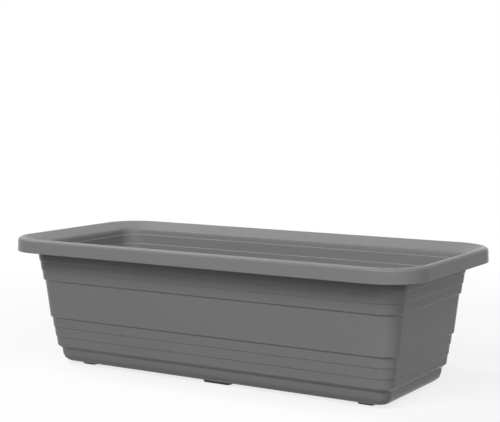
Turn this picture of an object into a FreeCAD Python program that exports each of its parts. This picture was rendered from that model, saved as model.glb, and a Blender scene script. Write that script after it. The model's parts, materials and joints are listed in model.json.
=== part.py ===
import FreeCAD, Part
import math
import os

# Trough planter. Sizes in millimetres, +Z up, X along the trough, ground at z = 0.

# Rim, measured at the lower edge of the skirt
rim_length = 600.0
rim_width = 279.0
rim_corner = 54.0
crest_height = 176.4
skirt_depth = 18.4
skirt_flare = 0.6
crest_round = 4.8
slope_angle = 25.0
throat_round = 0.5

# Walls, all of one moulded thickness
wall = 2.6
wall_inset = 24.0
wall_draft_share = 0.1043
wall_corner = 28.5
base_corner = 9.5
base_round = 12.0

# Bands up the wall, as shares of the height from the base to the crest
base_band_share = 0.1192
low_band_share = 0.0848
small_band_share = 0.0778
wide_band_share = 0.2966
small_step = 0.85
big_step = 2.1
base_step = 4.9

# Feet moulded under the base
foot_height = 4.0
foot_length = 44.0
foot_width = 18.0
foot_draft = 2.0
foot_setback = 1.4
end_foot_length = 26.0
end_foot_setback = 5.0
end_foot_inset = 12.0

# Drain holes and the bungs that close them
drain_hole = 14.0
drain_near_share = 0.15
drain_far_share = 0.37
drain_side_share = 0.19
plug_clearance = 0.3
plug_flange = 23.0
plug_sides = 8
plug_flange_thickness = 2.0
plug_reach = 2.4
plug_grip_length = 14.0
plug_grip_width = 3.0
plug_grip_height = 4.5

# Drainage grids
grid_clearance = 2.0
grid_seam = 3.0
grid_stand = 17.0
grid_thickness = 2.4
grid_flange_depth = 8.0
grid_flange_thickness = 2.0
grid_border = 9.0
slot_length = 34.0
slot_width = 6.0
slot_land = 9.0
leg_spread = 14.0
leg_skin = 2.4
leg_x_share = 0.36
leg_y_share = 0.33
tab_length = 28.0
tab_height = 13.0
tab_round = 5.0

# How finely the rounded turns of the wall are stepped, and how far cutters run past
crest_pieces = 5
throat_pieces = 2
base_pieces = 3
overrun = 1.0


def turn(before, corner, after, radius, pieces):
    # points of an arc of the given radius that rounds the corner of a section line
    leg_in = FreeCAD.Vector(before).sub(corner).normalize()
    leg_out = FreeCAD.Vector(after).sub(corner).normalize()
    half = leg_in.getAngle(leg_out) / 2
    middle = FreeCAD.Vector(leg_in).add(leg_out).normalize()
    centre = corner.add(middle.multiply(radius / math.sin(half)))
    start = corner.add(leg_in.multiply(radius / math.tan(half))).sub(centre)
    end = corner.add(leg_out.multiply(radius / math.tan(half))).sub(centre)
    sweep = math.atan2(start.cross(end).y, start.dot(end))
    points = []
    for piece in range(pieces + 1):
        turned = FreeCAD.Rotation(FreeCAD.Vector(0, 1, 0), math.degrees(sweep * piece / pieces))
        points.append(centre.add(turned.multVec(start)))
    return points


def section_line():
    # hidden side of the moulded sheet: up the skirt, over the crest, down the wall to the base
    # x is the distance in from the rim edge, z is the height
    slope = math.radians(slope_angle)
    round_inside = crest_round - wall
    skirt_inner = wall + skirt_flare
    rise = math.cos(slope) + (1 + math.sin(slope)) * math.tan(slope)
    skirt_end = FreeCAD.Vector(wall, 0, crest_height - skirt_depth)
    peak = FreeCAD.Vector(skirt_inner, 0, crest_height - crest_round + round_inside * rise)
    run = wall_inset + wall_draft_share * (crest_height - peak.z) - peak.x
    down = run / (math.cos(slope) - wall_draft_share * math.sin(slope))
    throat = peak.add(FreeCAD.Vector(down * math.cos(slope), 0, -down * math.sin(slope)))

    face_height = crest_height - foot_height
    bands = [base_band_share, low_band_share, small_band_share, small_band_share,
             wide_band_share, small_band_share, small_band_share, small_band_share]
    depths = [base_step, small_step, small_step, big_step, big_step, small_step, small_step, small_step]
    steps = []
    inset, height = throat.x, throat.z
    for count in range(len(bands), 0, -1):
        depth = depths[count - 1]
        top = foot_height + face_height * sum(bands[:count]) + depth / 2
        inset += wall_draft_share * (height - top)
        steps.append(FreeCAD.Vector(inset, 0, top))
        inset += depth
        height = top - depth
        steps.append(FreeCAD.Vector(inset, 0, height))
    base = FreeCAD.Vector(inset + wall_draft_share * (height - foot_height), 0, foot_height)
    inward = base.add(FreeCAD.Vector(base_round, 0, 0))

    line = [skirt_end]
    line += turn(skirt_end, peak, throat, round_inside, crest_pieces)
    line += turn(peak, throat, steps[0], throat_round + wall, throat_pieces)
    line += steps
    line += turn(steps[-1], base, inward, base_round, base_pieces)
    return line


def facing_line(line):
    # the other side of the sheet, one wall thickness away all along
    below = line[0].sub(FreeCAD.Vector(0, 0, overrun))
    beyond = line[-1].add(FreeCAD.Vector(overrun, 0, 0))
    path = [below] + line + [beyond]
    moved = []
    for before, point, after in zip(path, path[1:], path[2:]):
        first = point.sub(before).normalize()
        second = after.sub(point).normalize()
        normal = FreeCAD.Vector(-first.z - second.z, 0, first.x + second.x)
        moved.append(point.add(normal.multiply(wall / (1 + first.dot(second)))))
    return moved


def corner_radius(inset, base_inset):
    # corner of the plan outline, easing from the rim to the wall and on to the base
    if inset < wall_inset:
        return rim_corner - (rim_corner - wall_corner) * inset / wall_inset
    return wall_corner - (wall_corner - base_corner) * (inset - wall_inset) / (base_inset - wall_inset)


def rounded_outline(length, width, corner, height, centre_x=0):
    # closed wire of four straight sides and four corner arcs
    flat_x = length / 2 - corner
    flat_y = width / 2 - corner
    up = FreeCAD.Vector(0, 0, 1)
    edges = []
    for quarter, (side_x, side_y) in enumerate([(1, 1), (-1, 1), (-1, -1), (1, -1)]):
        centre = FreeCAD.Vector(centre_x + side_x * flat_x, side_y * flat_y, height)
        edges.append(Part.makeCircle(corner, centre, up, quarter * 90, quarter * 90 + 90))
    joined = []
    for arc, following in zip(edges, edges[1:] + edges[:1]):
        joined.append(arc)
        joined.append(Part.makeLine(arc.Vertexes[-1].Point, following.Vertexes[0].Point))
    return Part.Wire(joined)


def ring(inset, height, corner):
    return rounded_outline(rim_length - 2 * inset, rim_width - 2 * inset, corner, height)


def box(length, width, height, centre_x, centre_y, low):
    corner = FreeCAD.Vector(centre_x - length / 2, centre_y - width / 2, low)
    return Part.makeBox(length, width, height, corner)


def foot(length, centre_x, centre_y):
    # a drafted pad that grows out of the base
    wires = []
    for height, shrink in [(0, foot_draft), (foot_height + wall / 2, 0)]:
        width = foot_width - 2 * shrink
        pad = rounded_outline(length - 2 * shrink, width, width / 3, height)
        pad.translate(FreeCAD.Vector(centre_x, centre_y, 0))
        wires.append(pad)
    return Part.makeLoft(wires, True, True)


def feet(base_inset):
    # one under the middle of each long side, one further in at each corner
    flat = rim_width / 2 - base_inset - foot_width / 2
    end = rim_length / 2 - base_inset - end_foot_inset - end_foot_length / 2
    pads = []
    for side in (-1, 1):
        pads.append(foot(foot_length, 0, side * (flat - foot_setback)))
        for way in (-1, 1):
            pads.append(foot(end_foot_length, way * end, side * (flat - end_foot_setback)))
    return pads


def drain_places(floor_length, floor_width):
    near = floor_length * drain_near_share
    far = floor_length * drain_far_share
    side = floor_width * drain_side_share
    return [(-far, 0), (-near, -side), (-near, side), (near, -side), (near, side), (far, 0)]


def trough(line, facing, radii, facing_radii, places):
    hidden = [ring(point.x, point.z, radius) for point, radius in zip(line, radii)]
    seen = [ring(point.x, point.z, radius) for point, radius in zip(facing, facing_radii)]
    faces = []
    for wires in (hidden, seen, [hidden[0], seen[0]]):
        faces += Part.makeLoft(wires, False, True).Faces
    faces.append(Part.Face(hidden[-1]))
    faces.append(Part.Face(seen[-1]))
    shell = Part.Shell(faces)
    shell.sewShape()
    body = Part.Solid(shell)
    if body.Volume < 0:
        body.reverse()
    body = body.fuse(feet(line[-1].x))
    for along, across in places:
        low = FreeCAD.Vector(along, across, foot_height - overrun)
        body = body.cut(Part.makeCylinder(drain_hole / 2, wall + 2 * overrun, low))
    return body.removeSplitter()


def drain_plug(along, across):
    # eight-sided flange on the floor, round stem down through the hole, bar grip on top
    floor = foot_height + wall
    top = floor + plug_flange_thickness
    tip = foot_height - plug_reach
    reach = plug_flange / 2 / math.cos(math.pi / plug_sides)
    start = FreeCAD.Vector(reach, 0, floor)
    rim = [FreeCAD.Rotation(FreeCAD.Vector(0, 0, 1), (side + 0.5) * 360 / plug_sides).multVec(start)
           for side in range(plug_sides)]
    flange = Part.Face(Part.makePolygon(rim + rim[:1])).extrude(FreeCAD.Vector(0, 0, plug_flange_thickness))
    stem = Part.makeCylinder(drain_hole / 2 - plug_clearance, floor - tip + plug_flange_thickness / 2,
                             FreeCAD.Vector(0, 0, tip))
    grip = box(plug_grip_length, plug_grip_width, plug_grip_height + plug_flange_thickness / 2, 0, 0,
               top - plug_flange_thickness / 2)
    plug = flange.fuse([stem, grip]).removeSplitter()
    plug.translate(FreeCAD.Vector(along, across, 0))
    return plug


def grid_plate(length, width, corner, under):
    # flat plate with a stiffening flange turned down all round
    low = under - grid_flange_depth
    outer = Part.Face(rounded_outline(length, width, corner, low))
    inner = Part.Face(rounded_outline(length - 2 * grid_flange_thickness, width - 2 * grid_flange_thickness,
                                      corner - grid_flange_thickness, low - overrun))
    plate = outer.extrude(FreeCAD.Vector(0, 0, grid_flange_depth + grid_thickness))
    return plate.cut(inner.extrude(FreeCAD.Vector(0, 0, grid_flange_depth + overrun)))


def grid_slots(length, width, under, solid_places):
    # drain slots in rows, left out over the legs and the lifting tab
    pitch_x = slot_length + slot_land
    pitch_y = slot_width + slot_land
    columns = int((length - 2 * grid_border + slot_land) / pitch_x)
    rows = int((width - 2 * grid_border + slot_land) / pitch_y)
    slots = []
    for column in range(columns):
        for row in range(rows):
            along = (column - (columns - 1) / 2) * pitch_x
            across = (row - (rows - 1) / 2) * pitch_y
            clear = True
            for x, y, reach_x, reach_y in solid_places:
                beside = abs(along - x) > (slot_length + reach_x) / 2
                past = abs(across - y) > (slot_width + reach_y) / 2
                clear = clear and (beside or past)
            if clear:
                slots.append(box(slot_length, slot_width, grid_thickness + 2 * overrun, along, across,
                                 under - overrun))
    return Part.makeCompound(slots)


def grid_leg(x, y, floor):
    # cross-shaped leg that stands on the floor
    height = grid_stand + grid_thickness / 2
    return box(leg_spread, leg_skin, height, x, y, floor).fuse(box(leg_skin, leg_spread, height, x, y, floor))


def lifting_tab(under):
    # upright tab to lift the grid by, rounded at its top corners
    low = under + grid_thickness / 2
    tab = box(tab_length, grid_thickness, tab_height + grid_thickness / 2, 0, 0, low)
    ends = [edge for edge in tab.Edges if edge.BoundBox.ZMin > low and edge.BoundBox.XLength < edge.BoundBox.YLength]
    return tab.makeFillet(tab_round, ends)


def drainage_grid(side, room_length, room_width, corner):
    # half-length perforated plate on legs, one each side of the seam
    floor = foot_height + wall
    under = floor + grid_stand
    length = room_length / 2 - grid_clearance - grid_seam / 2
    width = room_width - 2 * grid_clearance
    leg_places = [(along * length * leg_x_share, across * width * leg_y_share)
                  for along in (-1, 0, 1) for across in (-1, 1)]
    solid_places = [(x, y, leg_spread, leg_spread) for x, y in leg_places]
    solid_places.append((0, 0, tab_length, grid_thickness + slot_land))
    grid = grid_plate(length, width, corner, under)
    grid = grid.cut(grid_slots(length, width, under, solid_places))
    added = [grid_leg(x, y, floor) for x, y in leg_places]
    added.append(lifting_tab(under))
    grid = grid.fuse(added).removeSplitter()
    grid.translate(FreeCAD.Vector(side * (length + grid_seam) / 2, 0, 0))
    return grid


def inset_at(line, height):
    # how far in the given side of the wall stands at a height, found on its lower run
    for upper, lower in zip(line[::-1][1:], line[::-1]):
        if lower.z <= height <= upper.z:
            share = (height - lower.z) / (upper.z - lower.z)
            return lower.x + (upper.x - lower.x) * share
    return line[-1].x


os.makedirs("parts", exist_ok=True)

line = section_line()
facing = facing_line(line)
radii = [corner_radius(point.x, line[-1].x) for point in line]
facing_radii = [radius - (front.x - back.x) for radius, back, front in zip(radii, line, facing)]

floor_length = rim_length - 2 * facing[-1].x
floor_width = rim_width - 2 * facing[-1].x
places = drain_places(floor_length, floor_width)

flange_low = foot_height + wall + grid_stand - grid_flange_depth
room_inset = inset_at(facing, flange_low)
room_length = rim_length - 2 * room_inset
room_width = rim_width - 2 * room_inset

trough(line, facing, radii, facing_radii, places).exportStep("parts/trough_body.step")
for number, (along, across) in enumerate(places, 1):
    drain_plug(along, across).exportStep("parts/drain_plug_%d.step" % number)
for name, side in (("left", -1), ("right", 1)):
    grid = drainage_grid(side, room_length, room_width, base_corner)
    grid.exportStep("parts/drainage_grid_%s.step" % name)
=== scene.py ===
import bpy
import json
import math
from mathutils import Matrix, Vector

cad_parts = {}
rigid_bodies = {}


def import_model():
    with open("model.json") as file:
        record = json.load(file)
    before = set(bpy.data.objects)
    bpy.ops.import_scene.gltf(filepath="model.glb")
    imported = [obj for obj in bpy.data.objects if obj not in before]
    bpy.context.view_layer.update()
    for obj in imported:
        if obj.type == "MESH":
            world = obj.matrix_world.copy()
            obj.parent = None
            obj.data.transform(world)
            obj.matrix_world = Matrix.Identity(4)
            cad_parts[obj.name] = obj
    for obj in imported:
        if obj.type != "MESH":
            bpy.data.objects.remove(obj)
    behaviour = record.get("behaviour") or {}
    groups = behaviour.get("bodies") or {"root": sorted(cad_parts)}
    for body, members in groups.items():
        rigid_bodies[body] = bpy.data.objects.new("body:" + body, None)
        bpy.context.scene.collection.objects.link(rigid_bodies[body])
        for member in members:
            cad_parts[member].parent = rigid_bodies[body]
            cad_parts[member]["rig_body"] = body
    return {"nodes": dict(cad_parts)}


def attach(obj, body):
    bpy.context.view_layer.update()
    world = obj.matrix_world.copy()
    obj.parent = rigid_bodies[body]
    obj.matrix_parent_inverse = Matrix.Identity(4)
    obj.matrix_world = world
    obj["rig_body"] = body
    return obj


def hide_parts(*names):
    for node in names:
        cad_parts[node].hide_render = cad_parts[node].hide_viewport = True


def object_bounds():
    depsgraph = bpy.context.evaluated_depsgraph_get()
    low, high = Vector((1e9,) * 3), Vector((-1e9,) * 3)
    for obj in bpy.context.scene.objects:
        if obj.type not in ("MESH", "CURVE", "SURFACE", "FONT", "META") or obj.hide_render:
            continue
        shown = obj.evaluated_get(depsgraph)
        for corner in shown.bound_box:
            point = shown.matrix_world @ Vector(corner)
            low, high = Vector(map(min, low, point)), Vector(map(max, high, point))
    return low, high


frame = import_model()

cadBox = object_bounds()
nodes = frame["nodes"]
bpy.ops.object.select_all(action="DESELECT")
print("frame loaded:", len(nodes), "nodes")


def linear(hexColour):
    # sRGB hex to the linear colour that shaders take
    channels = [int(hexColour[i:i + 2], 16) / 255 for i in (1, 3, 5)]
    return [c / 12.92 if c <= 0.04045 else ((c + 0.055) / 1.055) ** 2.4 for c in channels] + [1.0]


def addNode(tree, kind, inputs=None, **settings):
    # one node with its settings, fixed inputs and links
    node = tree.nodes.new(kind)
    for name, value in settings.items():
        setattr(node, name, value)
    for name, value in (inputs or {}).items():
        if isinstance(value, bpy.types.NodeSocket):
            tree.links.new(value, node.inputs[name])
        else:
            node.inputs[name].default_value = value
    return node


def newMaterial(name):
    material = bpy.data.materials.new(name)
    material.use_nodes = True
    material.node_tree.nodes.clear()
    return material, material.node_tree


# how a CAD mesh is merged, which of its edges count as sharp, and which angles are shaded smooth, in degrees
edges = {"mergeMm": 0.01, "flat": 0.4, "sharp": 34, "smooth": 36, "segments": 3}


def markEdges(mesh, look):
    # sharp edges are rounded over, more so where they face the inside of the piece,
    # and less so round the feet and drain holes, where small arcs leave little room
    faces = {}
    for face in mesh.polygons:
        for key in face.edge_keys:
            faces.setdefault(key, []).append(face.normal)
    centre = sum((v.co for v in mesh.vertices), Vector()) / len(mesh.vertices)
    weights = mesh.attributes.new("bevel_weight_edge", "FLOAT", "EDGE")
    for edge in mesh.edges:
        normals = faces.get(edge.key, [])
        if len(normals) == 2 and normals[0].angle(normals[1], 0) > math.radians(edges["sharp"]):
            start, end = (mesh.vertices[v].co for v in edge.vertices)
            out = (start + end) / 2 - centre
            out = Vector((out.x / cadBox[1][0] ** 2, out.y / cadBox[1][1] ** 2, 0))
            inside = out.dot(normals[0] + normals[1]) < 0
            width = look["innerEdgeMm"] if inside else look["edgeMm"]
            if max(start.z, end.z) < look["lowMm"] / 1000:
                width = look["lowEdgeMm"]
            weights.data[edge.index].value = width / look["innerEdgeMm"]


def dress(name, look, finish):
    # the CAD piece with its moulded edges rounded over and its curved faces shaded smooth
    piece = bpy.data.objects.new(name.replace("_", "") + "Dressed", nodes[name].data.copy())
    bpy.context.scene.collection.objects.link(piece)
    bpy.ops.object.select_all(action="DESELECT")
    bpy.context.view_layer.objects.active = piece
    piece.select_set(True)
    bpy.ops.object.mode_set(mode="EDIT")
    bpy.ops.mesh.select_all(action="SELECT")
    bpy.ops.mesh.customdata_custom_splitnormals_clear()
    bpy.ops.mesh.remove_doubles(threshold=edges["mergeMm"] / 1000)
    bpy.ops.mesh.dissolve_limited(angle_limit=math.radians(edges["flat"]))
    bpy.ops.object.mode_set(mode="OBJECT")
    markEdges(piece.data, look)
    rounded = piece.modifiers.new("mouldedEdges", "BEVEL")
    rounded.width = look["innerEdgeMm"] / 1000
    rounded.segments = edges["segments"]
    rounded.limit_method = "WEIGHT"
    rounded.use_clamp_overlap = False
    bpy.ops.object.modifier_apply(modifier="mouldedEdges")
    bpy.ops.object.shade_smooth_by_angle(angle=math.radians(edges["smooth"]))
    flat = piece.modifiers.new("flatFacesStayFlat", "WEIGHTED_NORMAL")
    flat.keep_sharp = True
    bpy.ops.object.modifier_apply(modifier="flatFacesStayFlat")
    piece.data.materials.clear()
    piece.data.materials.append(finish)
    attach(piece, nodes[name]["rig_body"])
    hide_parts(name)


# injection-moulded polypropylene: satin, even grey, the fine spark grain of the mould in its skin,
# and a slow drift of gloss where the melt cooled sooner; the grain is drawn coarse enough to show,
# and specular is set low, so that the mirrored white room leaves the step lines dark
trough = {"slot": "trough_plastic", "edgeMm": 0.28, "innerEdgeMm": 0.5, "lowEdgeMm": 0.1, "lowMm": 8,
          "colour": "#7c7c7c", "drift": "#7a7a7a", "ior": 1.49, "specular": 0.15, "roughness": (0.21, 0.26),
          "driftMm": 60, "grainMm": 0.9, "grainDepthMm": 0.02}
# grids in reground polypropylene: darker, speckled by the mixed scrap, duller
grid = {"slot": "grid_plastic", "edgeMm": 0.2, "innerEdgeMm": 0.2, "lowEdgeMm": 0.2, "lowMm": 0,
        "colour": "#3c3c3c", "drift": "#323232", "ior": 1.49, "specular": 0.15, "roughness": (0.50, 0.64),
        "driftMm": 5, "grainMm": 1.0, "grainDepthMm": 0.04}
# bungs in moulded rubber: near black, very dull, with a bloom that greys it in patches
bung = {"slot": "plug_rubber", "edgeMm": 0.3, "innerEdgeMm": 0.3, "lowEdgeMm": 0.3, "lowMm": 0,
        "colour": "#262626", "drift": "#303030", "ior": 1.52, "specular": 0.15, "roughness": (0.72, 0.86),
        "driftMm": 8, "grainMm": 0.8, "grainDepthMm": 0.03}

# shared by the moulded finishes: noise detail and roughness of the drift and of the grain,
# the span of the drift that changes the gloss, and how strongly the grain tilts the light
skinNoise = {"drift": (3.0, 0.55), "grain": (2.0, 0.6), "glossSpan": (0.3, 0.7), "grainStrength": 0.25}


def mouldedMaterial(name, look):
    material, tree = newMaterial(name)
    where = addNode(tree, "ShaderNodeTexCoord")
    place = where.outputs["Object"]
    drift = addNode(tree, "ShaderNodeTexNoise", {
        "Vector": place, "Scale": 1000 / look["driftMm"],
        "Detail": skinNoise["drift"][0], "Roughness": skinNoise["drift"][1]})
    shade = addNode(tree, "ShaderNodeMix", {
        "Factor": drift.outputs["Fac"], "A": linear(look["colour"]), "B": linear(look["drift"])}, data_type="RGBA")
    gloss = addNode(tree, "ShaderNodeMapRange", {
        "Value": drift.outputs["Fac"], "From Min": skinNoise["glossSpan"][0], "From Max": skinNoise["glossSpan"][1],
        "To Min": look["roughness"][0], "To Max": look["roughness"][1]})
    grain = addNode(tree, "ShaderNodeTexNoise", {
        "Vector": place, "Scale": 1000 / look["grainMm"],
        "Detail": skinNoise["grain"][0], "Roughness": skinNoise["grain"][1]})
    bump = addNode(tree, "ShaderNodeBump", {
        "Height": grain.outputs["Fac"], "Strength": skinNoise["grainStrength"],
        "Distance": look["grainDepthMm"] / 1000})
    skin = addNode(tree, "ShaderNodeBsdfPrincipled", {
        "Base Color": shade.outputs["Result"], "Roughness": gloss.outputs["Result"], "IOR": look["ior"],
        "Specular IOR Level": look["specular"], "Normal": bump.outputs["Normal"]})
    addNode(tree, "ShaderNodeOutputMaterial", {"Surface": skin.outputs["BSDF"]})
    return material


troughFinish = mouldedMaterial("injectionMouldedPolypropylene", trough)
gridFinish = mouldedMaterial("regroundPolypropylene", grid)
bungFinish = mouldedMaterial("mouldedRubber", bung)
for name in sorted(nodes):
    if name == "trough_body":
        dress(name, trough, troughFinish)
    elif name.startswith("drainage_grid"):
        dress(name, grid, gridFinish)
    else:
        dress(name, bung, bungFinish)
print("pieces dressed")


def backgroundRay(tree):
    # 1 for rays that see the white background: the camera's own, and those that a piece mirrors or lets through
    path = addNode(tree, "ShaderNodeLightPath")
    mirrored = addNode(tree, "ShaderNodeMath", {
        0: path.outputs["Is Camera Ray"], 1: path.outputs["Is Glossy Ray"]}, operation="MAXIMUM")
    through = addNode(tree, "ShaderNodeMath", {
        0: mirrored.outputs[0], 1: path.outputs["Is Transmission Ray"]}, operation="MAXIMUM")
    return through.outputs[0]


# floor: pale, fading to plain white away from the trough, so only the soft shadow by it shows;
# the soft light it throws back on the trough is that of a mid grey floor
floor = {"size": 12.0, "seen": "#f7f7f7", "bounce": "#999999", "white": (0.8, 1.0), "fade": (0.4, 1.1)}


def addFloor():
    bpy.ops.mesh.primitive_plane_add(size=floor["size"], location=(0, 0, 0))
    plane = bpy.context.object
    plane.name = "studioFloor"
    material, tree = newMaterial("whiteStudioFloor")
    where = addNode(tree, "ShaderNodeTexCoord")
    away = addNode(tree, "ShaderNodeVectorMath", {0: where.outputs["Object"]}, operation="LENGTH")
    share = addNode(tree, "ShaderNodeMapRange", {
        "Value": away.outputs["Value"], "From Min": floor["fade"][0], "From Max": floor["fade"][1],
        "To Min": floor["white"][0], "To Max": floor["white"][1]}, interpolation_type="SMOOTHSTEP")
    paper = addNode(tree, "ShaderNodeBsdfDiffuse", {"Color": linear(floor["seen"])})
    glow = addNode(tree, "ShaderNodeEmission", {"Color": (1, 1, 1, 1), "Strength": 1.0})
    seen = addNode(tree, "ShaderNodeMixShader", {
        0: share.outputs["Result"], 1: paper.outputs[0], 2: glow.outputs[0]})
    bounce = addNode(tree, "ShaderNodeBsdfDiffuse", {"Color": linear(floor["bounce"])})
    mixed = addNode(tree, "ShaderNodeMixShader", {
        0: backgroundRay(tree), 1: bounce.outputs[0], 2: seen.outputs[0]})
    addNode(tree, "ShaderNodeOutputMaterial", {"Surface": mixed.outputs[0]})
    plane.data.materials.append(material)


addFloor()

# studio: soft boxes on a 3 m ring round the trough, each with its turn from the front, its height angle,
# its width and height in metres and its watts; front, camera and right carry the light, the two at the left
# edge the rim, and the white room is mirrored in the skin
studio = {"ring": 3.0,
          "front": (0, 43, 1.2, 1.2, 43),
          "camera": (36, 25, 3.3, 1.2, 35),
          "right": (68, 55, 1.6, 1.4, 19),
          "backLeft": (236, 46, 2.2, 2.6, 8),
          "leftStrip": (281, 55, 0.5, 1.8, 28)}


def addRoom():
    # white where it is seen or mirrored; the light on the pieces comes from the soft boxes
    world = bpy.data.worlds.new("studioRoom")
    bpy.context.scene.world = world
    world.use_nodes = True
    tree = world.node_tree
    tree.nodes.clear()
    white = addNode(tree, "ShaderNodeBackground", {"Color": (1, 1, 1, 1), "Strength": backgroundRay(tree)})
    addNode(tree, "ShaderNodeOutputWorld", {"Surface": white.outputs[0]})


def addSoftBox(name, turn, rise, width, height, watts):
    turn, rise = math.radians(turn), math.radians(rise)
    out = Vector((math.sin(turn) * math.cos(rise), -math.cos(turn) * math.cos(rise), math.sin(rise)))
    bpy.ops.object.light_add(type="AREA", location=out * studio["ring"])
    lamp = bpy.context.object
    lamp.name = name + "SoftBox"
    lamp.data.shape = "ELLIPSE"
    lamp.data.size, lamp.data.size_y = width, height
    lamp.data.energy = watts
    lamp.rotation_euler = (-out).to_track_quat("-Z", "Y").to_euler()


addRoom()
for name in ("front", "camera", "right", "backLeft", "leftStrip"):
    addSoftBox(name, *studio[name])
print("studio lit")

# camera fitted to the rim, step and base edges of the photo, which is 500 by 422
view = {"lensMm": 89.87, "turn": 31.775, "tilt": 5.569, "distance": 1.6548, "right": 0.0063, "rise": 0.2106,
        "baseHeight": 0.004, "sensorMm": 36, "clip": (0.01, 50)}


def addCamera():
    turn, tilt = math.radians(view["turn"]), math.radians(view["tilt"])
    back = Vector((math.sin(turn) * math.cos(tilt), -math.cos(turn) * math.cos(tilt), math.sin(tilt)))
    right = Vector((math.cos(turn), math.sin(turn), 0))
    up = back.cross(right)
    base = Vector((0, 0, view["baseHeight"]))
    place = base + back * view["distance"] + right * view["right"] + up * view["rise"]
    bpy.ops.object.camera_add()
    camera = bpy.context.object
    camera.data.lens = view["lensMm"]
    camera.data.sensor_width = view["sensorMm"]
    axes = Matrix((right, up, back)).transposed().to_4x4()
    camera.matrix_world = Matrix.Translation(place) @ axes
    camera.data.clip_start, camera.data.clip_end = view["clip"]
    bpy.context.scene.camera = camera


addCamera()
bpy.context.scene.view_settings.view_transform = "Standard"
print("camera placed")
